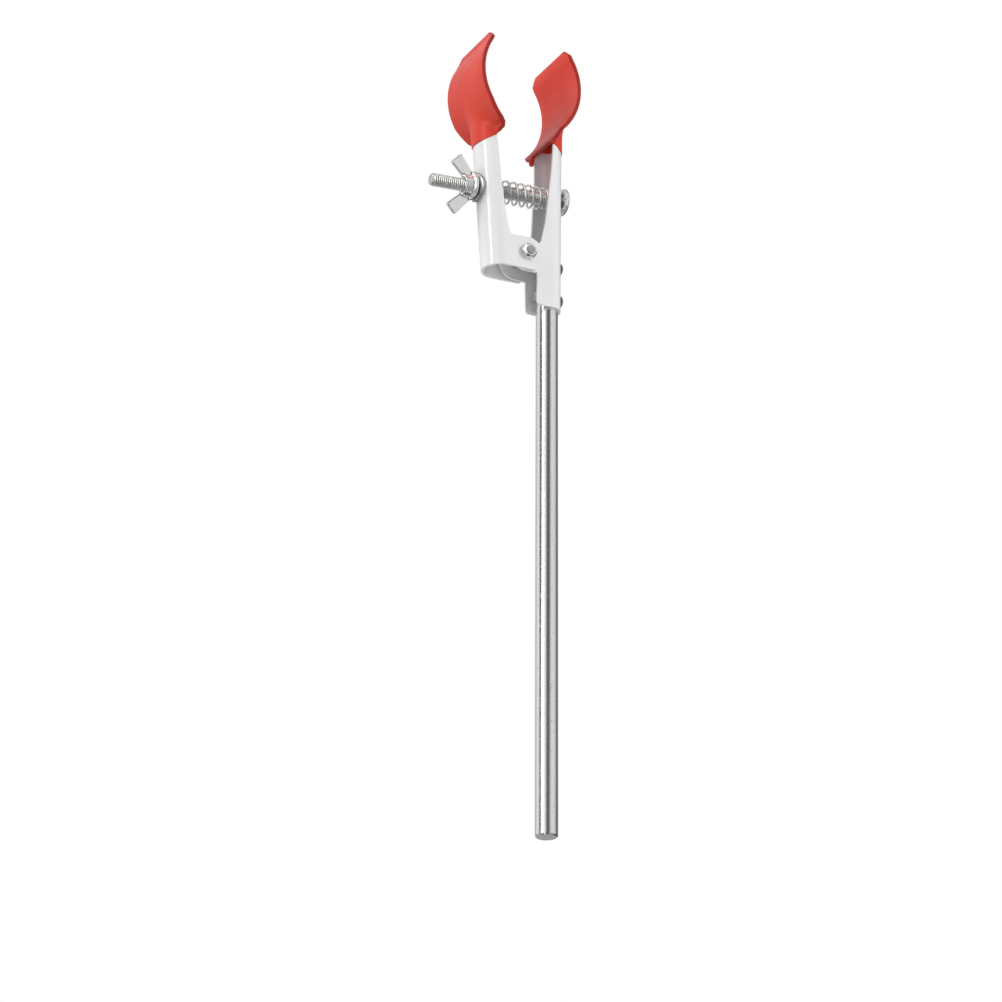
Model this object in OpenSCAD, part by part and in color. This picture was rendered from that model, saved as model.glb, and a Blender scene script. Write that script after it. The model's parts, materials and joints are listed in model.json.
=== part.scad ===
// Two-jaw laboratory clamp on a support rod. Millimetres.
// Origin: rod axis where the rod leaves the head. +Z runs up the rod towards the jaws,
// +X from the moving arm towards the fixed arm, and Y along the pivot and the clamped neck.

/* [Support rod] */
// Diameter of the support rod
rod_d = 10; // [9:0.5:11]
// Length of rod standing free below the head
rod_free = 246; // [150:2:300]

/* [Arms] */
// Thickness of the pressed steel sheet
sheet = 1.2; // [1:0.1:1.4]
// Outer width of the moving arm at its lower edge
moving_w = 16.6; // [16.4:0.1:18]
// Outer width of the fixed arm just above the pivot
fixed_w = 13.8; // [13:0.1:14]
// Outer width of the fixed arm where the jaw starts
fixed_top_w = 19.4; // [17:0.1:21]

/* [Pivot] */
// Distance of the pivot from the rod axis
pivot_x = 13.7; // [13.2:0.1:14.2]
// Height of the pivot above the lower edge of the head
pivot_z = 23.4; // [22.8:0.1:24]
// Diameter of the pivot screw
pivot_d = 4; // [3:0.5:4]

/* [Jaws] */
// Width of each covered jaw
jaw_w = 36; // [32:0.5:40]
// Width of each jaw along its top and bottom edges
jaw_end_w = 28; // [24:0.5:30]
// Thickness of a jaw with its cover
jaw_t = 1.9; // [1.9:0.1:2.4]
// Height of the jaw tips above the lower edge of the head
jaw_top = 127.3; // [122:0.2:130]

/* [Clamp bolt] */
// Thread diameter of the clamp bolt
bolt_d = 6; // [5:0.5:6]
// Length of the bolt below its head
bolt_len = 66; // [60:1:75]
// Height of the bolt head's seat
bolt_z = 57; // [55:0.5:59]
// Slope of the bolt at rest, wing nut end down
bolt_tilt = 3.5; // [3:0.1:4]
// Angle of the wings about the bolt at rest
wing_turn = -20; // [-90:1:90]

/* [Spring] */
// Outer diameter of the spring
spring_d = 11; // [10:0.5:12]
// Diameter of the spring wire
wire_d = 1; // [0.8:0.1:1.2]
// Turns of the spring between its closed ends
spring_turns = 8; // [6:0.5:9]

/* [Hidden] */
$fn = 64;
far = 60;
tiny = 0.01;

// The rod's top end is turned down a little where it sits inside the fixed arm.
rod_r = rod_d / 2;
seat_r = rod_r - 0.2;
seat_top = 27;
rod_end_chamfer = 0.6;
rivet_r = 2;
rivet_z = [6.2, 22.4];
rivet_gap = 0.02;
rivet_head = [2.9, 1.5];
rivet_tail = [2.6, 1.2];

// Pivot hardware: gap to the moving arm's sides, the screw's dome [radius, height] and free end,
// the nut [half width at its corners, height] with the radius of its chamfering cone, and hole clearances
pivot_gap = 0.25;
pivot_head = [3.7, 2.4];
pivot_end = 2.9;
pivot_nut_size = [3.75, 2.5];
pivot_nut_cone = 5.2;
fixed_hole_gap = 0.03;
moving_hole_gap = 0.06;

// The fixed arm is a channel with a round back that hugs the rod, upright at the back.
// Above the rod its sides spread, at one rate from the second level up.
fixed_back = rod_r + sheet;
fixed_foot_w = rod_d + 2 * sheet;
spread = (fixed_top_w - fixed_w) / (80 - 32);
arm_top = 112;
fixed_levels = [[14, fixed_foot_w], [32, fixed_w], [arm_top, fixed_w + spread * (arm_top - 32)]];
ear_r = 8;
lobe_r = 7.5;

// The moving arm leans away, and its back is fully round.
lean = 4.35;
moving_foot_z = 14.7;
moving_foot_x = -32.5;
moving_levels = [[moving_foot_z, moving_w], [arm_top, moving_w + 1.6]];

// Middle line of each jaw: centre x, centre z and radius of its long arc, and which way the arc bulges.
// At the foot and the tip a small arc turns it back upright.
fixed_arc = [-22.6, 106.5, 30.05, 1];
moving_arc = [-11.2, 107, 30.35, -1];
tip_turn_r = 12;
cover_t = 0.3;
cover_gap = 0.05;
jaw_shoulder = 3.6;
// Foot of each jaw: height and half width of its lower edge, half width at the corner above, turning radius
fixed_foot = [81.7, 14, 18, 6];
moving_foot = [81, 12.8, 16, 3];

// Bolt: its seat stands off the back of the fixed arm so that the head can rock
head_gap = 0.6;
seat_x = fixed_back + head_gap;
head_r = 6.3;
head_h = 2.6;
head_rim = 0.7;
head_dish = 13;
neck_w = 6;
neck_len = 3.2;
slot_w = 6.8;
slot_h = 9;
slot_shift = 1.2;
bolt_chamfer = 0.7;

// Distances along the bolt from its seat towards the free end
web_s = 42.4;
washer_s = 44.5;
washer_t = 1;
washer_side_r = 7.9;
washer_across = 11;
washer_bend_r = 7.5;
washer_gap = 0.02;
washer_hole_gap = 0.4;
nut_h = 5.5;
nut_r = 5.1;
nut_top_r = 4.5;
flange_r = 6.1;
flange_t = 1.4;
wing_t = 2;
wing_w = 6.3;
wing_flare = 45;
wing_tip = [11.7, 10.3];
thread_gap = 0.05;
spring_start = 4.3;
spring_end = 38.5;

function arc(x, z, r, from, to, steps = 12) =
    [for (i = [0:steps]) let (a = from + (to - from) * i / steps) [x + r * cos(a), z + r * sin(a)]];

// Turns a drawing in X and Z into a slab along Y.
module slab(depth) {
    rotate([90, 0, 0]) linear_extrude(depth, center = true) children();
}

module along_x(r, from, to) {
    translate([from, 0, 0]) rotate([0, 90, 0]) cylinder(h = to - from, r = r);
}

module along_y(r, from, to) {
    translate([0, to, 0]) rotate([90, 0, 0]) cylinder(h = to - from, r = r);
}

// Places things along the bolt: local +Z runs from the head's seat to the free end.
module on_bolt(s = 0) {
    translate([seat_x, 0, bolt_z]) rotate([0, -90 - bolt_tilt, 0]) translate([0, 0, s]) children();
}

// Button shape standing on z = 0
module dome(r, h) {
    rotate_extrude() polygon(concat([[0, 0]], [for (i = [0:6]) let (a = i * 15) [r * cos(a), h * sin(a)]]));
}

// ---------- channels ----------

// Cross-section of a channel, filled in: round-cornered back at x = back, open towards side.
module channel_section(back, w, r, side) {
    for (y = [-1, 1]) translate([back + side * r, y * (w / 2 - r)]) circle(r, $fn = 48);
    if (w - 2 * r > tiny) translate([back + (side > 0 ? 0 : -far), -(w / 2 - r)]) square([far, w - 2 * r]);
    translate([back + side * r + (side > 0 ? 0 : -far), -w / 2]) square([far, w]);
}

module fixed_section(w, inset) {
    channel_section(fixed_back - inset, w - 2 * inset, w / 2 - inset, -1);
}

// Filled shape of one stretch of the fixed arm's channel, inset by a distance
module fixed_stretch(i, inset) {
    hull() for (level = [fixed_levels[i], fixed_levels[i + 1]])
        translate([0, 0, level[0]]) linear_extrude(tiny) fixed_section(level[1], inset);
}

module fixed_filled(inset) {
    translate([0, 0, -1]) linear_extrude(1 + fixed_levels[0][0]) fixed_section(fixed_foot_w, inset);
    for (i = [0, 1]) fixed_stretch(i, inset);
}

module moving_filled(inset) {
    hull() for (level = moving_levels)
        translate([moving_foot_x - (level[0] - moving_foot_z) * tan(lean), 0, level[0]])
            linear_extrude(tiny) channel_section(inset, level[1] - 2 * inset, level[1] / 2 - inset, 1);
}

// Side outline of the fixed arm: straight back, sloping front edge and a round ear at the pivot
module fixed_side() {
    polygon(concat([[12, 0]], arc(-6.2, 1.8, 1.8, 270, 180, 4), [[-8, 15.4], [-pivot_x, 15.4],
        [-pivot_x, pivot_z + ear_r], [-7.6, 29.8], [-6.3, 31.4], [-4.4, 41], [-3.4, 53], [-2.1, 68],
        [-1.5, 84], [-1.5, arm_top], [12, arm_top]]));
    translate([-pivot_x, pivot_z]) circle(ear_r);
}

// Side outline of the moving arm: flat foot, round lobe at the pivot and a sloping front edge
module moving_side() {
    polygon(concat([[-45, moving_foot_z - 0.2], [-10, moving_foot_z + 0.7], [-6.7, 20],
        [-pivot_x, pivot_z + lobe_r]],
        arc(-21.3, 32.7, 2.3, 270, 190, 6), [[-25.7, 43.3], [-27.6, 56], [-28.9, 68.3],
        [-30.2, 79], [-30.6, arm_top], [-45, arm_top]]));
    translate([-pivot_x, pivot_z]) circle(lobe_r);
}

// ---------- jaws ----------

// Front outline of a jaw: wide in the middle, cut back at its four corners
module jaw_front(foot, inset) {
    side = jaw_w / 2 - inset;
    low = foot[0] + inset;
    high = jaw_top - inset;
    half = [[foot[1] - inset / 2, low], [foot[2] - inset, low + jaw_shoulder],
        [side, low + 3 * jaw_shoulder], [side, high - jaw_shoulder], [jaw_end_w / 2 - inset / 2, high]];
    polygon(concat(half, [for (i = [4:-1:0]) [-half[i][0], half[i][1]]]));
}

// Side view of a jaw's face, this far outside its middle line, from the foot to the tip
function jaw_face(arc_of, foot, out) =
    let (foot_turn = asin((foot[0] - arc_of[1]) / (arc_of[2] + foot[3])),
        tip_turn = asin((jaw_top - arc_of[1]) / (arc_of[2] + tip_turn_r)),
        foot_at = (arc_of[2] + foot[3]) * [cos(foot_turn), sin(foot_turn)],
        tip_at = (arc_of[2] + tip_turn_r) * [cos(tip_turn), sin(tip_turn)],
        points = concat(
            arc(foot_at[0], foot_at[1], foot[3] - out, 180, 180 + foot_turn - 1, 4),
            arc(0, 0, arc_of[2] + out, foot_turn, tip_turn, 24),
            arc(tip_at[0], tip_at[1], tip_turn_r - out, 179 + tip_turn, 180, 4)))
    [for (point = points) [arc_of[0] + arc_of[3] * point[0], arc_of[1] + point[1]]];

function reversed(list) = [for (i = [len(list) - 1:-1:0]) list[i]];

// Curved jaw sheet between two distances outside its middle line
module jaw_sheet(arc_of, foot, from, to, inset) {
    intersection() {
        slab(jaw_w) polygon(concat(jaw_face(arc_of, foot, from), reversed(jaw_face(arc_of, foot, to))));
        translate([-far, 0, 0]) rotate([90, 0, 90]) linear_extrude(2 * far) jaw_front(foot, inset);
    }
}

module jaw_steel(arc_of, foot) {
    jaw_sheet(arc_of, foot, -sheet / 2, sheet / 2, cover_t + cover_gap);
}

// Everything on the gripping side of a jaw's face
module inside_jaw(arc_of, foot, out = 0) {
    inner_x = arc_of[0] - arc_of[3] * far;
    slab(far) polygon(concat(jaw_face(arc_of, foot, out), [[inner_x, jaw_top], [inner_x, foot[0]]]));
}

// Cover: a pocket over the jaw sheet, with a skirt down the outside of the channel
module jaw_boot(arc_of, foot) {
    difference() {
        jaw_sheet(arc_of, foot, -jaw_t / 2, jaw_t / 2, 0);
        jaw_sheet(arc_of, foot, cover_t - jaw_t / 2, jaw_t / 2 - cover_t, cover_t);
        difference() {
            children(0);
            inside_jaw(arc_of, foot);
        }
    }
    difference() {
        children(1);
        children(0);
        inside_jaw(arc_of, foot, jaw_t / 2 - cover_t);
    }
}

// ---------- nodes ----------

module support_rod() {
    color([0.75, 0.75, 0.77]) difference() {
        union() {
            translate([0, 0, -rod_free])
                cylinder(h = rod_end_chamfer, r1 = rod_r - rod_end_chamfer, r2 = rod_r);
            translate([0, 0, rod_end_chamfer - rod_free])
                cylinder(h = rod_free - rod_end_chamfer, r = rod_r);
            cylinder(h = seat_top, r = seat_r);
        }
        for (z = rivet_z) translate([0, 0, z]) along_x(rivet_r + rivet_gap, -far, far);
    }
}

module fixed_arm() {
    color([0.93, 0.93, 0.93]) difference() {
        union() {
            intersection() {
                difference() {
                    fixed_filled(0);
                    fixed_filled(sheet);
                    inside_jaw(fixed_arc, fixed_foot);
                }
                slab(far) fixed_side();
                translate([-far, -far / 2, -1]) cube([2 * far, far, 101]);
            }
            jaw_steel(fixed_arc, fixed_foot);
        }
        for (z = rivet_z) translate([0, 0, z]) along_x(rivet_r + rivet_gap, 0, far);
        translate([-pivot_x, 0, pivot_z]) along_y(pivot_d / 2 + fixed_hole_gap, -far, far);
        translate([0, -slot_w / 2, bolt_z - slot_h / 2]) cube([far, slot_w, slot_h]);
    }
}

module moving_arm() {
    color([0.93, 0.93, 0.93]) difference() {
        union() {
            intersection() {
                difference() {
                    moving_filled(0);
                    moving_filled(sheet);
                    inside_jaw(moving_arc, moving_foot);
                }
                slab(far) moving_side();
                translate([-far, -far / 2, 0]) cube([far, far, 92]);
            }
            jaw_steel(moving_arc, moving_foot);
        }
        translate([-pivot_x, 0, pivot_z]) along_y(pivot_d / 2 + moving_hole_gap, -far, far);
        on_bolt(web_s) {
            for (x = [-1, 1]) translate([x * slot_shift, 0, -5]) cylinder(h = 10, r = slot_w / 2);
            translate([-slot_shift, -slot_w / 2, -5]) cube([2 * slot_shift, slot_w, 10]);
        }
    }
}

module fixed_jaw_boot() {
    color([0.8, 0.16, 0.12]) jaw_boot(fixed_arc, fixed_foot) {
        fixed_stretch(1, -cover_gap);
        intersection() {
            fixed_stretch(1, -cover_t - cover_gap);
            slab(far) polygon([[-4, 83], [-2.8, 82], [2.2, 77.2], [12, 77.2], [12, 98], [4, 98],
                [-1.4, 90]]);
        }
    }
}

module moving_jaw_boot() {
    color([0.8, 0.16, 0.12]) jaw_boot(moving_arc, moving_foot) {
        moving_filled(-cover_gap);
        intersection() {
            moving_filled(-cover_t - cover_gap);
            slab(far) polygon([[-30.2, 78.8], [-38.2, 74.8], [-45, 74.8], [-45, 92], [-30.2, 92]]);
        }
    }
}

module rod_rivets() {
    color([0.6, 0.6, 0.6]) for (z = rivet_z) translate([0, 0, z]) {
        along_x(rivet_r, -rod_r - 0.5, fixed_back + 0.3);
        along_x(rivet_tail[0], -rod_r - rivet_tail[1], -rod_r);
        translate([fixed_back, 0, 0]) rotate([0, 90, 0]) dome(rivet_head[0], rivet_head[1]);
    }
}

module pivot_screw() {
    head_y = moving_w / 2 + pivot_gap;
    color([0.6, 0.6, 0.6]) translate([-pivot_x, 0, pivot_z]) {
        along_y(pivot_d / 2, -head_y - pivot_end, head_y + 1);
        translate([0, head_y, 0]) rotate([-90, 0, 0]) dome(pivot_head[0], pivot_head[1]);
    }
}

module pivot_nut() {
    nut_y = moving_w / 2 + pivot_gap;
    color([0.6, 0.6, 0.6]) translate([-pivot_x, -nut_y, pivot_z]) rotate([90, 0, 0]) difference() {
        intersection() {
            cylinder(h = pivot_nut_size[1], r = pivot_nut_size[0], $fn = 6);
            cylinder(h = 4.5, r1 = pivot_nut_cone, r2 = pivot_nut_cone - 4.5);
        }
        translate([0, 0, -1]) cylinder(h = 5, r = pivot_d / 2 + thread_gap);
    }
}

module clamp_bolt() {
    rise = (head_r - neck_w / 2) * tan(head_dish);
    color([0.68, 0.68, 0.66]) on_bolt() {
        cylinder(h = bolt_len - bolt_chamfer, r = bolt_d / 2);
        translate([0, 0, bolt_len - bolt_chamfer])
            cylinder(h = bolt_chamfer, r1 = bolt_d / 2, r2 = bolt_d / 2 - bolt_chamfer);
        translate([-neck_w / 2, -neck_w / 2, -0.2]) cube([neck_w, neck_w, neck_len + 0.2]);
        rotate_extrude() polygon(concat([[0, 0], [neck_w / 2, 0], [head_r, -rise]],
            [for (i = [0:8]) let (a = i * 90 / 8)
                [head_r * cos(a), -rise - head_rim - (head_h - head_rim - rise) * sin(a)]]));
    }
}

module wing() {
    half = wing_w / 2 * [cos(wing_flare), -sin(wing_flare)];
    slab(wing_t) polygon([[nut_top_r - 1, nut_h], wing_tip - half, wing_tip + half,
        [nut_r, 1], [nut_top_r - 1, 1]]);
}

module wing_nut() {
    color([0.68, 0.68, 0.66]) on_bolt(washer_s) rotate([0, 0, wing_turn]) difference() {
        union() {
            cylinder(h = flange_t, r = flange_r);
            cylinder(h = nut_h, r1 = nut_r, r2 = nut_top_r);
            wing();
            rotate([0, 0, 180]) wing();
        }
        translate([0, 0, -1]) cylinder(h = nut_h + 2, r = bolt_d / 2 + thread_gap);
    }
}

module saddle_washer() {
    color([0.7, 0.7, 0.7]) on_bolt(washer_s - washer_gap) difference() {
        intersection() {
            translate([0, washer_side_r - washer_across / 2, -8]) cylinder(h = 8, r = washer_side_r);
            translate([0, washer_across / 2 - washer_side_r, -8]) cylinder(h = 8, r = washer_side_r);
            translate([0, 0, -washer_bend_r]) difference() {
                along_x(washer_bend_r, -far, far);
                along_x(washer_bend_r - washer_t, -far, far);
            }
        }
        translate([0, 0, -20]) cylinder(h = 40, r = bolt_d / 2 + washer_hole_gap);
    }
}

// Open coil with closed ends: the turn number runs from 0 to the total.
module spring() {
    turns = spring_turns + 2;
    steps = round(turns * 20);
    sides = 8;
    coil_r = (spring_d - wire_d) / 2;
    first = spring_start + wire_d / 2;
    last = spring_end - wire_d / 2;
    closed = wire_d * 1.08;
    pitch = (last - first - 2 * closed) / spring_turns;
    function height(t) = t < 1 ? first + closed * t
        : t > turns - 1 ? last - closed * (turns - t)
        : first + closed + pitch * (t - 1);
    points = [for (i = [0:steps], j = [0:sides - 1])
        let (t = turns * i / steps, a = 360 * t, b = 360 * j / sides, r = coil_r + wire_d / 2 * cos(b))
            [r * cos(a), r * sin(a), height(t) + wire_d / 2 * sin(b)]];
    sleeve = [for (i = [0:steps - 1], j = [0:sides - 1]) let (k = (j + 1) % sides)
        [i * sides + j, i * sides + k, (i + 1) * sides + k, (i + 1) * sides + j]];
    caps = [[for (j = [sides - 1:-1:0]) j], [for (j = [0:sides - 1]) steps * sides + j]];
    color([0.55, 0.55, 0.57]) on_bolt() polyhedron(points, concat(sleeve, caps), 10);
}

support_rod();
fixed_arm();
moving_arm();
fixed_jaw_boot();
moving_jaw_boot();
rod_rivets();
pivot_screw();
pivot_nut();
clamp_bolt();
wing_nut();
saddle_washer();
spring();
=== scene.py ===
"""Looks of a two-jaw laboratory clamp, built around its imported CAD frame.

Object space is metres in the frame's axes: +Z up the rod, +X from the moving arm to the fixed arm,
Y along the pivot. Shapes are worked out in millimetres and scaled when they become meshes.
"""

import json
import math

import bpy
import numpy as np
from mathutils import Matrix, Vector


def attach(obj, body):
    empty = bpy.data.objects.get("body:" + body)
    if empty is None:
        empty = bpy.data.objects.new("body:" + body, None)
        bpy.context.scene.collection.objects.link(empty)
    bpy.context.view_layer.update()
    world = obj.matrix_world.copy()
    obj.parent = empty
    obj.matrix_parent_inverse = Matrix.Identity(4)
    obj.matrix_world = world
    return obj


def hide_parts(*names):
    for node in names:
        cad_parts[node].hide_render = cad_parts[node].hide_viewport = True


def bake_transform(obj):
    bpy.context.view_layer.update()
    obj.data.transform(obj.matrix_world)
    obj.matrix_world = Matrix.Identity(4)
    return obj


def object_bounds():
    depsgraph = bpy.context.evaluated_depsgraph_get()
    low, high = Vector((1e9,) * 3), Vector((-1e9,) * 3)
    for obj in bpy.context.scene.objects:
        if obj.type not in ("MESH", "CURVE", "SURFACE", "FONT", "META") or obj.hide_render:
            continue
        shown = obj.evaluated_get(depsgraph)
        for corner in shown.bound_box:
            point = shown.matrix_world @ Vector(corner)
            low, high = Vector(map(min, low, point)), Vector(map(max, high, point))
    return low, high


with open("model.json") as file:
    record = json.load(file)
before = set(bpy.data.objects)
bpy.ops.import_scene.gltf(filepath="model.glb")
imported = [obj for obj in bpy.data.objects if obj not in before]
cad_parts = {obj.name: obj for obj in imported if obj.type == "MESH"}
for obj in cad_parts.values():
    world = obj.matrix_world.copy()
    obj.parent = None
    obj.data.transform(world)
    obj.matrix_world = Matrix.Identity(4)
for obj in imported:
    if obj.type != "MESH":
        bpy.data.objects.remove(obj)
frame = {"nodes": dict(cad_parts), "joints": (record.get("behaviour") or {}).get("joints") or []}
cad_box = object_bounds()
joints = {joint["name"]: joint for joint in frame["joints"]}
MM = 0.001


# ---------- fields: signed distances in millimetres, negative inside ----------

# Rounds that settle a mesh onto its surface, and the least squared slope that they divide by
SETTLE_ROUNDS, LEAST_SLOPE = 4, 0.1


def smooth_min(a, b, reach):
    """Union of two fields with a fillet."""
    h = np.clip(0.5 + 0.5 * (b - a) / reach, 0, 1)
    return b + (a - b) * h - reach * h * (1 - h)


def smooth_max(a, b, reach):
    """Intersection of two fields with its edge eased."""
    return -smooth_min(-a, -b, reach)


def round_max(a, b, radius):
    """Intersection of two fields with its edge rounded to a radius."""
    u, v = a + radius, b + radius
    outside = np.hypot(np.maximum(u, 0), np.maximum(v, 0))
    return np.minimum(np.maximum(u, v), 0) + outside - radius


def half_plane(u, v, start, end):
    """Distance beyond the line from start to end, positive on its right-hand side."""
    du, dv = end[0] - start[0], end[1] - start[1]
    return ((u - start[0]) * dv - (v - start[1]) * du) / math.hypot(du, dv)


def gradient(field, points, h=0.01):
    """Slope of a field at each point, along the three axes."""
    steps = np.eye(3) * h
    return np.stack([field(points + s) - field(points - s) for s in steps], -1) / (2 * h)


def surface_net(field, low, high, step):
    """Closed quad mesh of a field's zero surface.

    Each crossed cell gets one point, which is then settled onto the surface.
    """
    low = np.array(low, float)
    axes = [np.arange(a, b + step, step) for a, b in zip(low, high)]
    grid = np.stack(np.meshgrid(*axes, indexing="ij"), -1)
    value = np.stack([field(layer) for layer in grid])
    cells = np.array(value.shape) - 1
    total, count = np.zeros((cells.prod(), 3)), np.zeros(cells.prod())
    quads = []
    for axis in range(3):
        start = np.take(value, range(cells[axis]), axis)
        end = np.take(value, range(1, cells[axis] + 1), axis)
        edges = np.argwhere((start < 0) != (end < 0))
        a, b = start[tuple(edges.T)], end[tuple(edges.T)]
        points = low + step * edges
        points[:, axis] += step * a / (a - b)
        around = []
        for du, dv in ((0, 0), (-1, 0), (-1, -1), (0, -1)):
            cell = edges.copy()
            cell[:, (axis + 1) % 3] += du
            cell[:, (axis + 2) % 3] += dv
            cell = np.ravel_multi_index(cell.T, cells)
            np.add.at(total, cell, points)
            np.add.at(count, cell, 1)
            around.append(cell)
        around = np.stack(around, 1)
        quads.append(np.where((a < 0)[:, None], around, around[:, ::-1]))
    used = np.flatnonzero(count)
    index = np.zeros(len(count), int)
    index[used] = np.arange(len(used))
    points = total[used] / count[used][:, None]
    for _ in range(SETTLE_ROUNDS):
        slope = gradient(field, points)
        move = field(points)[:, None] * slope / np.maximum((slope**2).sum(1), LEAST_SLOPE)[:, None]
        points -= np.clip(move, -step / 2, step / 2)
    return points, index[np.concatenate(quads)]


# ---------- meshes ----------


def make_mesh(name, points, faces, place=Matrix.Identity(4)):
    """Smooth-shaded object from points in millimetres, placed by a matrix in metres."""
    mesh = bpy.data.meshes.new(name)
    mesh.from_pydata((np.asarray(points) * MM).tolist(), [], [list(map(int, f)) for f in faces])
    mesh.transform(place)
    mesh.polygons.foreach_set("use_smooth", [True] * len(mesh.polygons))
    mesh.update()
    piece = bpy.data.objects.new(name, mesh)
    bpy.context.scene.collection.objects.link(piece)
    return piece


def polar_solid(stations, radius_at, sides):
    """Closed solid round the z axis from rings of points.

    A station starts with its height, and radius_at(angles, station) gives the radii of its ring.
    The first and the last station are single points.
    """
    angles = np.arange(sides) * 2 * math.pi / sides
    points = [(0, 0, stations[0][0])]
    for station in stations[1:-1]:
        radii = radius_at(angles, station)
        points += list(zip(radii * np.cos(angles), radii * np.sin(angles), np.full(sides, station[0])))
    points.append((0, 0, stations[-1][0]))
    last_ring, last_point = len(stations) - 3, len(points) - 1

    def corner(ring, i):
        return 1 + ring * sides + i % sides

    faces = []
    for i in range(sides):
        faces.append((0, corner(0, i + 1), corner(0, i)))
        faces += [(corner(r, i), corner(r, i + 1), corner(r + 1, i + 1), corner(r + 1, i))
                  for r in range(last_ring)]
        faces.append((last_point, corner(last_ring, i), corner(last_ring, i + 1)))
    return points, faces


def tube(path, frames, radius, sides):
    """Closed round wire along a path; frames holds two unit vectors across the path for each point."""
    angles = np.arange(sides) * 2 * math.pi / sides
    cos, sin = np.cos(angles)[None, :, None], np.sin(angles)[None, :, None]
    ring = cos * frames[:, 0, None] + sin * frames[:, 1, None]
    points = (path[:, None] + radius * ring).reshape(-1, 3)
    last_ring = len(path) - 1

    def corner(ring, i):
        return ring * sides + i % sides

    faces = [(corner(r, i), corner(r, i + 1), corner(r + 1, i + 1), corner(r + 1, i))
             for r in range(last_ring) for i in range(sides)]
    faces.append([corner(0, i) for i in reversed(range(sides))])
    faces.append([corner(last_ring, i) for i in range(sides)])
    return points, faces


# ---------- jaws ----------

# Thickness of the arms' sheet, of a covered jaw and of the cover's skin on an arm
SHEET, JAW_T, COAT = 1.2, 1.9, 0.35
# Half widths of a jaw at its middle and top, the height of its top and of its cut corners
JAW_HALF, TOP_HALF, JAW_TOP, SHOULDER = 18.0, 14.0, 127.3, 3.6
# Radius that turns a jaw's tip upright, and the share of each arc's radius up to which it is followed
TIP_TURN, ARC_REACH = 12.0, 0.95
# Rounding of a jaw's outline and rim, and of a skirt's edges; fillet between jaw and skirt
OUTLINE_EASE, RIM_EASE, SKIRT_EASE, FILLET = 0.2, 0.5, 0.3, 3.0
# How much higher a skirt ends inside the channel
INNER_LIFT = 4.4

# Fixed channel: its back and its (height, width) at two levels
FIXED_BACK, FIXED_LOW, FIXED_HIGH = 6.2, (32, 13.8), (80, 19.4)
# Height at which both channels' sides end
ARM_TOP = 112.0
# Moving channel: its foot (x, z), its width there, how much wider it is at the top, and its lean
MOVING_FOOT, MOVING_W, MOVING_GAIN, LEAN = (-32.5, 14.7), 16.6, 1.6, math.radians(4.35)
# Front edges of the arms, and the lines (x, z) down to which the covers were dipped
FIXED_FRONT, MOVING_FRONT = -1.5, -30.5
FIXED_DIP, MOVING_DIP = ((-1.9, 81.2), (2.5, 78.9)), ((-38.2, 74.8), (-30.2, 78.8))
# Drip on the fixed jaw's cover: where it hangs, its length, radius and fillet
DRIP_TOP, DRIP_LEN, DRIP_R, DRIP_FILLET = (-2.4, 10.6, 80.6), 1.3, 1.25, 0.8

JAWS = {
    "fixed": {"cx": -22.6, "cz": 106.5, "r": 30.05, "side": 1, "foot": 81.7, "foot_half": 14.0,
              "corner_half": 18.0, "foot_turn": 6.0},
    "moving": {"cx": -11.2, "cz": 107.0, "r": 30.35, "side": -1, "foot": 81.0, "foot_half": 12.8,
               "corner_half": 16.0, "foot_turn": 3.0},
}


def jaw_face(jaw, p):
    """Distance outside a jaw's middle surface: a long arc whose ends turn back upright."""
    r, z = jaw["r"], p[..., 2]

    def turned(end, turn):
        ratio = (end - jaw["cz"]) / (r + turn)
        centre = (r + turn) * math.sqrt(1 - ratio**2)
        return jaw["cz"] + r * ratio, centre

    low, foot_x = turned(jaw["foot"], jaw["foot_turn"])
    high, tip_x = turned(JAW_TOP, TIP_TURN)
    dz = np.clip(z - jaw["cz"], -ARC_REACH * r, ARC_REACH * r)
    x = np.sqrt(r**2 - dz**2)
    slope = -dz / x
    for inside, centre, end, turn in ((z < low, foot_x, jaw["foot"], jaw["foot_turn"]),
                                      (z > high, tip_x, JAW_TOP, TIP_TURN)):
        followed = np.clip(z - end, -ARC_REACH * turn, ARC_REACH * turn)
        off = np.where((z - end) * (end - jaw["cz"]) > 0, 0, followed)
        bend = np.sqrt(turn**2 - off**2)
        x = np.where(inside, centre - bend, x)
        slope = np.where(inside, off / bend, slope)
    out = jaw["side"] * (p[..., 0] - jaw["cx"]) - x
    return out / np.sqrt(1 + slope**2)


def jaw_outline(jaw, p):
    """Distance outside a jaw's front outline: wide in the middle, cut back at its four corners."""
    y, z = np.abs(p[..., 1]), p[..., 2]
    foot = jaw["foot"]
    corners = [(0, foot), (jaw["foot_half"], foot), (jaw["corner_half"], foot + SHOULDER),
               (JAW_HALF, foot + 3 * SHOULDER), (JAW_HALF, JAW_TOP - SHOULDER),
               (TOP_HALF, JAW_TOP), (0, JAW_TOP)]
    edge = half_plane(y, z, corners[0], corners[1])
    for start, end in zip(corners[1:], corners[2:]):
        edge = smooth_max(edge, half_plane(y, z, start, end), OUTLINE_EASE)
    return edge


def fixed_channel(p):
    """Filled channel of the fixed arm: its round back stays upright and its sides spread."""
    spread = (FIXED_HIGH[1] - FIXED_LOW[1]) / (FIXED_HIGH[0] - FIXED_LOW[0])
    half = (FIXED_LOW[1] + (p[..., 2] - FIXED_LOW[0]) * spread) / 2
    x, y = p[..., 0] - (FIXED_BACK - half), np.abs(p[..., 1])
    return np.where(x > 0, np.hypot(x, y), y) - half


def moving_channel(p):
    """Filled channel of the moving arm: it leans away, and its back is round."""
    foot_x, foot_z = MOVING_FOOT
    rise = p[..., 2] - foot_z
    half = (MOVING_W + rise * MOVING_GAIN / (ARM_TOP - foot_z)) / 2
    x, y = p[..., 0] - (foot_x - rise * math.tan(LEAN) + half), np.abs(p[..., 1])
    return np.where(x < 0, np.hypot(x, y), y) - half


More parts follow.
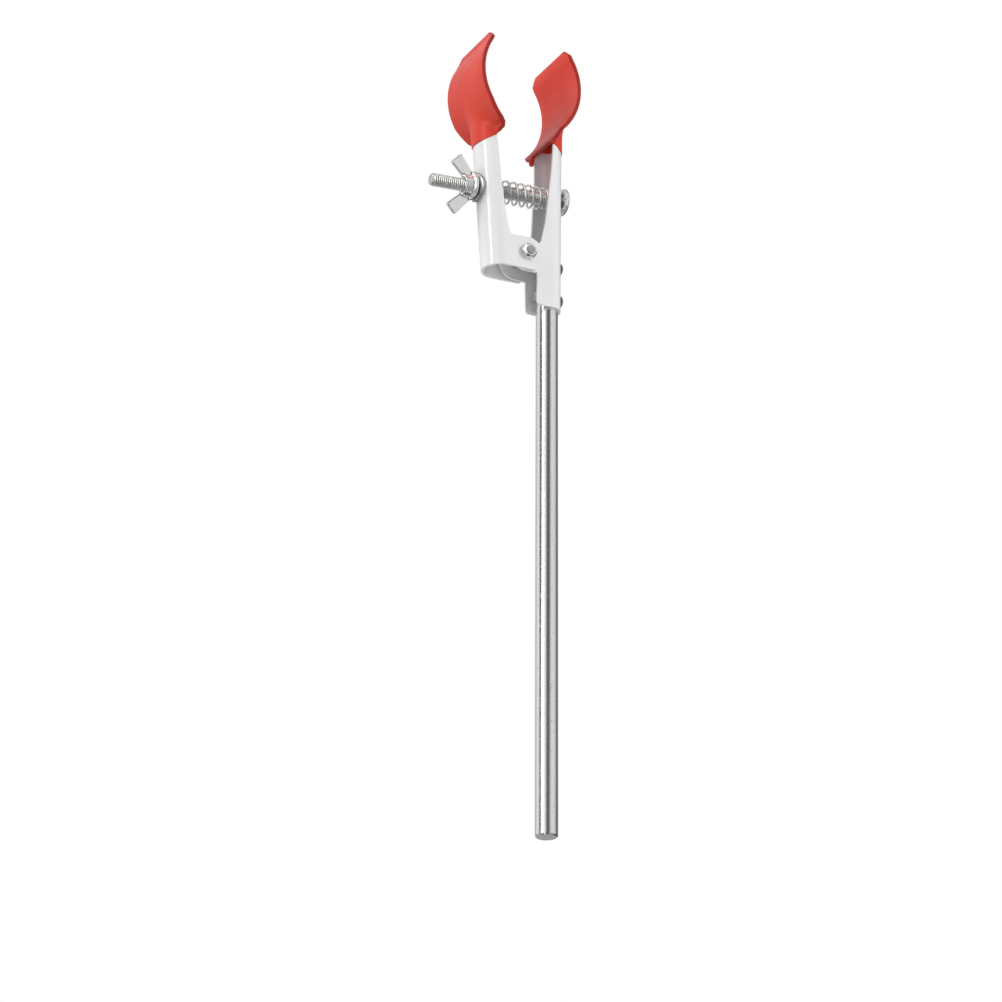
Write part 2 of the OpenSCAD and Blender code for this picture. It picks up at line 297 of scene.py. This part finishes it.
def cover_field(jaw, channel, front, dip):
    """Dipped cover: one skin over the jaw plate and the top of its arm, with fillets between them."""

    def field(p):
        face = jaw_face(jaw, p)
        plate = round_max(np.abs(face) - JAW_T / 2, jaw_outline(jaw, p), RIM_EASE)
        depth = channel(p) + SHEET / 2
        skin = np.abs(depth) - (SHEET / 2 + COAT)
        skin = round_max(skin, front(p), SKIRT_EASE)
        skin = round_max(skin, dip(p) + INNER_LIFT * np.clip(-depth / 0.2, 0, 1), 0.25)
        skin = np.maximum(skin, np.maximum(-face, p[..., 2] - ARM_TOP))
        return round_max(smooth_min(plate, skin, FILLET), -face - JAW_T / 2, SKIRT_EASE)

    return field


def fixed_front(p):
    """Distance beyond the fixed arm's front edge, with its coat."""
    return FIXED_FRONT - COAT - p[..., 0]


def fixed_dip(p):
    """Distance below the line where the fixed jaw's skirt ends: sloping in front, level at the back."""
    level = FIXED_DIP[1][1] - p[..., 2]
    return np.maximum(level, half_plane(p[..., 0], p[..., 2], *FIXED_DIP))


def moving_front(p):
    """Distance beyond the moving arm's front edge, with its coat."""
    return p[..., 0] - MOVING_FRONT - COAT


def moving_dip(p):
    """Distance below the line where the moving jaw's skirt ends."""
    return half_plane(p[..., 0], p[..., 2], *MOVING_DIP)


def fixed_cover_field(p):
    """The fixed jaw's cover ends in a drip under the foot's far corner."""
    cover = cover_field(JAWS["fixed"], fixed_channel, fixed_front, fixed_dip)(p)
    drip = p - np.array(DRIP_TOP)
    drip[..., 2] = np.maximum(drip[..., 2], 0) + np.minimum(drip[..., 2] + DRIP_LEN, 0)
    return smooth_min(cover, np.sqrt((drip**2).sum(-1)) - DRIP_R, DRIP_FILLET)


moving_cover_field = cover_field(JAWS["moving"], moving_channel, moving_front, moving_dip)

# Width of the painted shade that darkens a jaw's rim, and the distances from the channel over which it
# comes in
RIM_WIDTH, RIM_CLEAR, RIM_FADE = 0.9, 0.8, 1.5


def make_cover(name, jaw, channel, field, span, node, body):
    """Cover mesh that also carries how near each point is to the jaw's rim, for the painted shade that
    darkens the red there.
    """
    points, faces = surface_net(field, *span, COVER_STEP)
    piece = make_mesh(name, points, faces)
    clear_of_skirt = np.clip((np.abs(channel(points)) - RIM_CLEAR) / RIM_FADE, 0, 1)
    # Weight of the painted rim shade: full at the rim, fading inwards and near the skirt
    near = np.clip(1 + jaw_outline(jaw, points) / RIM_WIDTH, 0, 1) * clear_of_skirt
    rim = piece.data.attributes.new("rim", "FLOAT", "POINT")
    rim.data.foreach_set("value", near.astype(np.float32))
    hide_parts(node)
    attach(piece, body)
    return piece


COVER_STEP = 0.35
fixed_cover = make_cover("fixed_jaw_cover", JAWS["fixed"], fixed_channel, fixed_cover_field,
                         ((-14, -20, 75), (10, 20, 129)), "fixed_jaw_boot", "head")
moving_cover = make_cover("moving_jaw_cover", JAWS["moving"], moving_channel, moving_cover_field,
                          ((-45, -20, 72), (-20, 20, 129)), "moving_jaw_boot", "moving_jaw")


# ---------- clamp bolt, wing nut and spring ----------

towards_head = Vector(joints["washer_travel"]["axis"])
seat = Vector(joints["bolt_swivel"]["pos_m"])
bolt_axis = -towards_head
bolt_up = Vector((0, 1, 0)).cross(bolt_axis)
BOLT_PLACE = Matrix((bolt_up, (0, 1, 0), bolt_axis)).transposed().to_4x4()
BOLT_PLACE.translation = seat

THREAD_R, THREAD_DEPTH, THREAD_ROOT = 3.0, 0.5, 2.72
PITCH, RINGS_PER_PITCH = 1.0, 10
# Distances over which the thread fades in at the neck and out at the free end, and by how much it sinks
THREAD_IN, THREAD_OUT, THREAD_SINK = 1.5, 0.9, 0.75
# Steepness of the thread's flanks, and the share of them that lies below the root
FLANK, FLANK_CUT = 1.35, 0.12
# The head is dished underneath, and its edges are eased
HEAD_R, HEAD_H, HEAD_RIM, HEAD_EASE = 6.3, 2.6, 0.7, 0.25
DISH = math.radians(13)
# The square neck; its corners are rounded off at this many half widths from the axis
NECK_HALF, NECK_LEN, NECK_CORNER = 3.0, 3.2, 1.32
BOLT_LEN, TIP_R = 66.0, 2.2
BOLT_SIDES = 64
DOME_STEPS, EASE_STEPS = 12, 4


def bolt_stations():
    """Rings along the bolt as (distance from the seat, kind, value), from the dome to the free end."""
    rise = (HEAD_R - NECK_HALF) * math.tan(DISH)
    dome = HEAD_H - HEAD_RIM - rise
    rings = [(-HEAD_H, "round", 0)]
    for i in range(1, DOME_STEPS + 1):
        a = math.radians(90 - i * 90 / DOME_STEPS)
        rings.append((-rise - HEAD_RIM - dome * math.sin(a), "round", HEAD_R * math.cos(a)))
    for i in range(EASE_STEPS + 1):
        a = math.radians(i * 90 / EASE_STEPS)
        rim_r = HEAD_R + HEAD_EASE * (math.cos(a) - 1)
        rings.append((HEAD_EASE * (math.sin(a) - 1) - rise, "round", rim_r))
    rings.append((-0.02, "round", NECK_HALF + 0.05))
    rings += [(0, "square", 1), (NECK_LEN - 0.3, "square", 1), (NECK_LEN, "square", 0.94),
              (NECK_LEN + 0.2, "round", THREAD_ROOT)]
    start, end = NECK_LEN + 0.8, BOLT_LEN - 0.05
    count = round((end - start) * RINGS_PER_PITCH / PITCH)
    for i in range(count + 1):
        s = start + (end - start) * i / count
        rings.append((s, "thread", min(1, (s - start) / THREAD_IN, (end - s) / THREAD_OUT)))
    rings.append((BOLT_LEN, "round", TIP_R))
    rings.append((BOLT_LEN, "round", 0))
    return rings


def bolt_radius(angles, station):
    """Radii of one ring; value is a radius for a round ring and a share of full size for the others."""
    s, kind, value = station
    if kind == "round":
        return np.full(len(angles), float(value))
    if kind == "square":
        across = np.maximum(np.abs(np.cos(angles)), np.abs(np.sin(angles)))
        return np.minimum(NECK_HALF / across, NECK_HALF * NECK_CORNER) * value
    wave = np.abs(((s / PITCH - angles / (2 * math.pi)) % 1) * 2 - 1)
    crest = np.clip(wave * FLANK - FLANK_CUT, 0, 1)
    taper = THREAD_SINK * (1 - max(0.0, min(1.0, value)))
    return THREAD_R - THREAD_DEPTH * (1 - crest) - taper * crest


bolt = make_mesh("threaded_clamp_bolt", *polar_solid(bolt_stations(), bolt_radius, BOLT_SIDES), BOLT_PLACE)
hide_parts("clamp_bolt")
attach(bolt, "bolt")

NUT_SEAT = 44.5
NUT_H, NUT_R, NUT_TOP_R = 5.5, 5.1, 4.5
FLANGE_R, FLANGE_T = 6.1, 1.4
# Each wing: thickness, width at its end, length to its root and share of its width lost by there
WING_T, WING_W, WING_LEN, WING_TAPER = 2.0, 6.3, 11.2, 0.26
WING_TIP = (11.7, 10.3)
WING_TURN = math.radians(-20)
# Fillets where the boss meets the flange and the wings
FLANGE_FILLET, WING_FILLET = 0.8, 1.6
# Eased edges of the boss, flange, blade outline, blade faces and bore
BOSS_EASE, FLANGE_EASE, BLADE_EASE, WING_EASE, BORE_EASE = 0.45, 0.35, 0.8, 0.4, 0.1
# Gap round the thread, and the widening at each end of the bore
BORE_GAP, BORE_LEAD = 0.05, 0.5


def wing_nut_field(p):
    """Boss with a flange and a bored hole, and two flared wings that run out of its sides."""
    x = p[..., 0] * math.cos(WING_TURN) + p[..., 1] * math.sin(WING_TURN)
    y = -p[..., 0] * math.sin(WING_TURN) + p[..., 1] * math.cos(WING_TURN)
    z = p[..., 2]
    radius = np.hypot(x, y)
    side = radius - NUT_R + (NUT_R - NUT_TOP_R) * z / NUT_H
    boss = round_max(side, np.abs(z - NUT_H / 2) - NUT_H / 2, BOSS_EASE)
    flange = round_max(radius - FLANGE_R, np.abs(z - FLANGE_T / 2) - FLANGE_T / 2, FLANGE_EASE)
    body = smooth_min(boss, flange, FLANGE_FILLET)
    x = np.abs(x)
    out = (x - WING_TIP[0] + z - WING_TIP[1]) / math.sqrt(2)
    across = (x - WING_TIP[0] - z + WING_TIP[1]) / math.sqrt(2)
    width = WING_W / 2 * (1 - WING_TAPER * np.clip(-out / WING_LEN, 0, 1.2))
    blade = round_max(np.abs(across) - width, np.abs(out + WING_LEN / 2) - WING_LEN / 2, BLADE_EASE)
    wing = round_max(blade, np.abs(y) - WING_T / 2, WING_EASE)
    body = smooth_min(body, wing, WING_FILLET)
    lead = np.maximum(0, BORE_LEAD - np.minimum(np.abs(z), np.abs(NUT_H - z)))
    return round_max(body, THREAD_R + BORE_GAP + lead - radius, BORE_EASE)


NUT_STEP = 0.22
nut_place = BOLT_PLACE @ Matrix.Translation((0, 0, NUT_SEAT * MM))
nut_net = surface_net(wing_nut_field, (-16, -11, -1), (16, 11, 17), NUT_STEP)
wing_nut = make_mesh("flared_wing_nut", *nut_net, nut_place)
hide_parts("wing_nut")
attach(wing_nut, "nut")

SPRING_R, WIRE_R = 5.0, 0.5
SPRING_START, SPRING_END, SPRING_TURNS = 4.3, 38.5, 8
STEPS_PER_TURN, WIRE_SIDES = 48, 14


def make_spring():
    """Open coil with one closed turn at each end."""
    turns = SPRING_TURNS + 2
    t = np.linspace(0, turns, turns * STEPS_PER_TURN + 1)
    first, last, closed = SPRING_START + WIRE_R, SPRING_END - WIRE_R, 2.16 * WIRE_R
    pitch = (last - first - 2 * closed) / SPRING_TURNS
    rate = closed + (pitch - closed) * np.clip(np.minimum(t - 0.75, turns - 0.75 - t) / 0.5, 0, 1)
    height = np.concatenate([[0], np.cumsum((rate[1:] + rate[:-1]) / 2 * np.diff(t))])
    height = first + height * (last - first) / height[-1]
    a = 2 * math.pi * t
    path = np.stack([SPRING_R * np.cos(a), SPRING_R * np.sin(a), height], 1)
    out = np.stack([np.cos(a), np.sin(a), 0 * a], 1)
    along = np.gradient(path, axis=0)
    along /= np.linalg.norm(along, axis=1)[:, None]
    frames = np.stack([out, np.cross(along, out)], 1)
    return make_mesh("coil_spring", *tube(path, frames, WIRE_R, WIRE_SIDES), BOLT_PLACE)


spring = make_spring()
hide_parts("spring")
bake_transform(spring)


# ---------- materials ----------


class Shader:
    """One procedural material, built node by node in object space."""

    def __init__(self, name):
        self.material = bpy.data.materials.new(name)
        self.material.use_nodes = True
        self.tree = self.material.node_tree
        self.main = self.tree.nodes["Principled BSDF"]
        self.place = self.add("ShaderNodeTexCoord").outputs["Object"]

    def add(self, kind, **values):
        node = self.tree.nodes.new(kind)
        for key, value in values.items():
            setattr(node, key, value)
        return node

    def link(self, source, target):
        self.tree.links.new(source, target)

    def noise(self, scale, detail=3.0, stretch=(1, 1, 1)):
        mapping = self.add("ShaderNodeMapping")
        mapping.inputs["Scale"].default_value = stretch
        self.link(self.place, mapping.inputs["Vector"])
        node = self.add("ShaderNodeTexNoise")
        node.inputs["Scale"].default_value = scale
        node.inputs["Detail"].default_value = detail
        self.link(mapping.outputs["Vector"], node.inputs["Vector"])
        return node.outputs["Fac"]

    def spread(self, source, low, high, start=0.3, end=0.7):
        node = self.add("ShaderNodeMapRange")
        for key, value in (("From Min", start), ("From Max", end), ("To Min", low), ("To Max", high)):
            node.inputs[key].default_value = value
        self.link(source, node.inputs["Value"])
        return node.outputs["Result"]

    def mix(self, factor, low, high):
        node = self.add("ShaderNodeMix", data_type="RGBA")
        self.link(factor, node.inputs["Factor"])
        for socket, value in ((node.inputs[6], low), (node.inputs[7], high)):
            if isinstance(value, tuple):
                socket.default_value = (*value, 1)
            else:
                self.link(value, socket)
        return node.outputs[2]

    def bump(self, height, distance, strength=1.0):
        node = self.add("ShaderNodeBump")
        node.inputs["Distance"].default_value = distance
        node.inputs["Strength"].default_value = strength
        self.link(height, node.inputs["Height"])
        self.link(node.outputs["Normal"], self.main.inputs["Normal"])

    def set(self, **values):
        for key, value in values.items():
            socket = self.main.inputs[key.replace("_", " ")]
            if isinstance(value, bpy.types.NodeSocket):
                self.link(value, socket)
            else:
                socket.default_value = (*value, 1) if isinstance(value, tuple) else value


def red_vinyl():
    s = Shader("dipped_red_vinyl")
    cloud = s.mix(s.spread(s.noise(45, 2), 0, 1), (0.63, 0.043, 0.024), (0.70, 0.055, 0.031))
    rim = s.add("ShaderNodeAttribute", attribute_name="rim").outputs["Fac"]
    # Painted shade: the red turns dark towards each jaw's rim, following the rim attribute
    painted_rim_shade = s.mix(s.spread(rim, 0, 0.8, 0, 0.8), cloud, (0.30, 0.013, 0.009))
    s.set(Base_Color=painted_rim_shade, Roughness=s.spread(s.noise(160, 3), 0.36, 0.46), Specular_IOR_Level=0.35,
          Coat_Weight=0.12, Coat_Roughness=0.2)
    s.bump(s.noise(420, 4), 0.00008, 0.25)
    return s.material


def white_coat():
    s = Shader("white_powder_coat")
    s.set(Base_Color=s.mix(s.spread(s.noise(30, 2), 0, 1), (0.86, 0.86, 0.865), (0.87, 0.87, 0.875)),
          Roughness=s.spread(s.noise(200, 2), 0.28, 0.32), Coat_Weight=0.7, Coat_Roughness=0.12)
    s.bump(s.noise(600, 2), 0.00004, 0.05)
    return s.material


def bright_bar():
    s = Shader("bright_plated_bar")
    pits = s.spread(s.noise(1500, 4), 0, 1, 0.62, 0.74)
    grain = s.noise(420, 3, (1, 1, 0.04))
    s.set(Metallic=1.0, Base_Color=s.mix(pits, (0.80, 0.80, 0.81), (0.42, 0.41, 0.40)),
          Roughness=s.spread(grain, 0.14, 0.24))
    s.bump(pits, -0.00006, 0.6)
    return s.material


def zinc(name, low, high, rough):
    s = Shader(name)
    s.set(Metallic=1.0, Base_Color=s.mix(s.spread(s.noise(350, 3), 0, 1), low, high),
          Roughness=s.spread(s.noise(500, 2), rough - 0.03, rough + 0.05))
    s.bump(s.noise(900, 3), 0.00003, 0.08)
    return s.material


RED, WHITE, BAR = red_vinyl(), white_coat(), bright_bar()
PLATED = zinc("zinc_plating", (0.80, 0.80, 0.79), (0.88, 0.88, 0.87), 0.2)
# The thread's zinc is darker than the nut's: painted shade for the bolt lying in shadow inside the spring
THREADED = zinc("zinc_thread_with_painted_shade", (0.66, 0.655, 0.64), (0.76, 0.755, 0.74), 0.22)
# Darker zinc is painted shade: it darkens the rivets, the pivot screw's end in the nut and the saddle
# washer, where shade falls
SHADED_ZINC = zinc("zinc_with_painted_shade", (0.34, 0.34, 0.33), (0.46, 0.46, 0.45), 0.24)
WIRE = zinc("bright_spring_wire", (0.66, 0.66, 0.66), (0.78, 0.78, 0.78), 0.10)
FINISH = {
    "support_rod": BAR, "fixed_arm": WHITE, "moving_arm": WHITE, "rod_rivets": SHADED_ZINC, "pivot_screw": SHADED_ZINC,
    "pivot_nut": PLATED, "saddle_washer": SHADED_ZINC,
}


def paint(piece, material):
    piece.data.materials.clear()
    piece.data.materials.append(material)


for node, material in FINISH.items():
    paint(frame["nodes"][node], material)
for piece, material in ((fixed_cover, RED), (moving_cover, RED), (bolt, THREADED), (wing_nut, PLATED),
                        (spring, WIRE)):
    paint(piece, material)


def ease_edges(node, width, angle=35):
    """Rounds a CAD node's sharp edges with a modifier; the node's own mesh points stay where they are."""
    piece = frame["nodes"][node]
    bevel = piece.modifiers.new("eased_edges", "BEVEL")
    bevel.width = width * MM
    bevel.segments = 2
    bevel.limit_method = "ANGLE"
    bevel.angle_limit = math.radians(angle)
    piece.data.polygons.foreach_set("use_smooth", [True] * len(piece.data.polygons))
    piece.modifiers.new("even_normals", "WEIGHTED_NORMAL").keep_sharp = True


for node, width in (("fixed_arm", 0.22), ("moving_arm", 0.22), ("rod_rivets", 0.15), ("pivot_screw", 0.15),
                    ("pivot_nut", 0.2), ("saddle_washer", 0.15), ("support_rod", 0.1)):
    ease_edges(node, width)


# ---------- stage ----------


def pale_floor():
    """Seen as an even white, lit as a pale matt board."""
    s = Shader("pale_floor")
    s.set(Base_Color=(0.8, 0.8, 0.8), Roughness=0.9)
    glow = s.add("ShaderNodeEmission")
    seen = s.add("ShaderNodeMixShader")
    s.link(s.add("ShaderNodeLightPath").outputs["Is Camera Ray"], seen.inputs["Fac"])
    s.link(s.main.outputs["BSDF"], seen.inputs[1])
    s.link(glow.outputs["Emission"], seen.inputs[2])
    s.link(seen.outputs["Shader"], s.tree.nodes["Material Output"].inputs["Surface"])
    return s.material


def add_floor():
    low, _ = cad_box
    size, drop = 6.0, 0.55
    bpy.ops.mesh.primitive_plane_add(size=size, location=(0, 0, low.z - drop))
    floor = bpy.context.object
    floor.name = "floor"
    paint(floor, pale_floor())
    floor.visible_glossy = False


def add_softbox(name, place, target, size, power):
    light = bpy.data.lights.new(name, "AREA")
    light.shape = "RECTANGLE"
    light.size, light.size_y = size
    light.energy = power
    lamp = bpy.data.objects.new(name, light)
    lamp.visible_glossy = False
    lamp.location = place
    lamp.rotation_mode = "QUATERNION"
    lamp.rotation_quaternion = (Vector(target) - Vector(place)).to_track_quat("-Z", "Y")
    bpy.context.scene.collection.objects.link(lamp)


# What metal reflects at each place round the horizon, from -180 to 180 degrees of azimuth
BANDS = ((0.0, 0.10), (0.022, 0.12), (0.042, 1.1), (0.052, 6.0), (0.068, 6.0), (0.078, 1.0), (0.145, 1.0),
         (0.17, 0.2), (0.20, 0.12), (0.255, 0.15), (0.30, 0.8), (0.37, 0.85), (0.45, 0.62), (0.50, 0.14),
         (0.62, 0.2), (0.72, 0.7), (0.80, 0.55), (0.90, 0.95), (0.95, 0.9), (0.972, 0.12))


def add_world():
    """Pale surround; metal reflects bands of light and shade round the horizon, as in a studio tent."""
    world = bpy.data.worlds.new("studio")
    bpy.context.scene.world = world
    world.use_nodes = True
    tree = world.node_tree
    nodes, links = tree.nodes, tree.links
    background = nodes["Background"]
    paths = nodes.new("ShaderNodeLightPath")
    coord = nodes.new("ShaderNodeTexCoord")
    split = nodes.new("ShaderNodeSeparateXYZ")
    links.new(coord.outputs["Generated"], split.inputs["Vector"])
    angle = nodes.new("ShaderNodeMath")
    angle.operation = "ARCTAN2"
    links.new(split.outputs["Y"], angle.inputs[0])
    links.new(split.outputs["X"], angle.inputs[1])
    turn = nodes.new("ShaderNodeMapRange")
    turn.inputs["From Min"].default_value = -math.pi
    turn.inputs["From Max"].default_value = math.pi
    links.new(angle.outputs["Value"], turn.inputs["Value"])
    bands = nodes.new("ShaderNodeValToRGB")
    ramp = bands.color_ramp
    while len(ramp.elements) < len(BANDS):
        ramp.elements.new(0.5)
    for element, (place, shade) in zip(ramp.elements, BANDS):
        element.position = place
        element.color = (shade, shade, shade, 1)
    links.new(turn.outputs["Result"], bands.inputs["Fac"])
    below = nodes.new("ShaderNodeMapRange")
    for key, value in (("From Min", -0.75), ("From Max", -0.1), ("To Min", 0.45), ("To Max", 1.0)):
        below.inputs[key].default_value = value
    links.new(split.outputs["Z"], below.inputs["Value"])
    shaded = nodes.new("ShaderNodeVectorMath")
    shaded.operation = "SCALE"
    links.new(bands.outputs["Color"], shaded.inputs[0])
    links.new(below.outputs["Result"], shaded.inputs["Scale"])
    glossy = nodes.new("ShaderNodeMix")
    glossy.data_type = "RGBA"
    glossy.inputs[6].default_value = (0.32, 0.32, 0.33, 1)
    links.new(paths.outputs["Is Glossy Ray"], glossy.inputs["Factor"])
    links.new(shaded.outputs["Vector"], glossy.inputs[7])
    seen = nodes.new("ShaderNodeMix")
    seen.data_type = "RGBA"
    seen.inputs[7].default_value = (1, 1, 1, 1)
    links.new(paths.outputs["Is Camera Ray"], seen.inputs["Factor"])
    links.new(glossy.outputs[2], seen.inputs[6])
    links.new(seen.outputs[2], background.inputs["Color"])


# The camera's place in metres, its focal length, and its azimuth, rise and roll
CAMERA_PLACE, LENS = (-0.665341, -1.261518, -0.676918), 125.75
VIEW = [math.radians(angle) for angle in (27, 22.3, 0.35)]


def add_camera():
    """View from below and to the left of the head, looking up."""
    azimuth, rise, roll = VIEW
    level = Vector((math.sin(azimuth), math.cos(azimuth), 0))
    forward = level * math.cos(rise) + Vector((0, 0, math.sin(rise)))
    right = Vector((math.cos(azimuth), -math.sin(azimuth), 0))
    up = right.cross(forward)
    right, up = right * math.cos(roll) + up * math.sin(roll), up * math.cos(roll) - right * math.sin(roll)
    data = bpy.data.cameras.new("camera")
    data.sensor_width = 36
    data.lens = LENS
    camera = bpy.data.objects.new("camera", data)
    place = Matrix((right, up, -forward)).transposed().to_4x4()
    place.translation = CAMERA_PLACE
    camera.matrix_world = place
    bpy.context.scene.collection.objects.link(camera)
    bpy.context.scene.camera = camera


add_floor()
add_world()
add_softbox("key", (-1.4, -0.06, 0.9), (0, 0, 0.05), (0.7, 1.2), 21)
add_softbox("front", (1.2, -1.4, 0.5), (0, 0, 0.05), (0.6, 1.8), 24)
add_softbox("back", (0.5, 1.7, 0.6), (0, 0, 0.05), (0.8, 1.6), 16)
add_camera()
bpy.context.scene.view_settings.view_transform = "Standard"
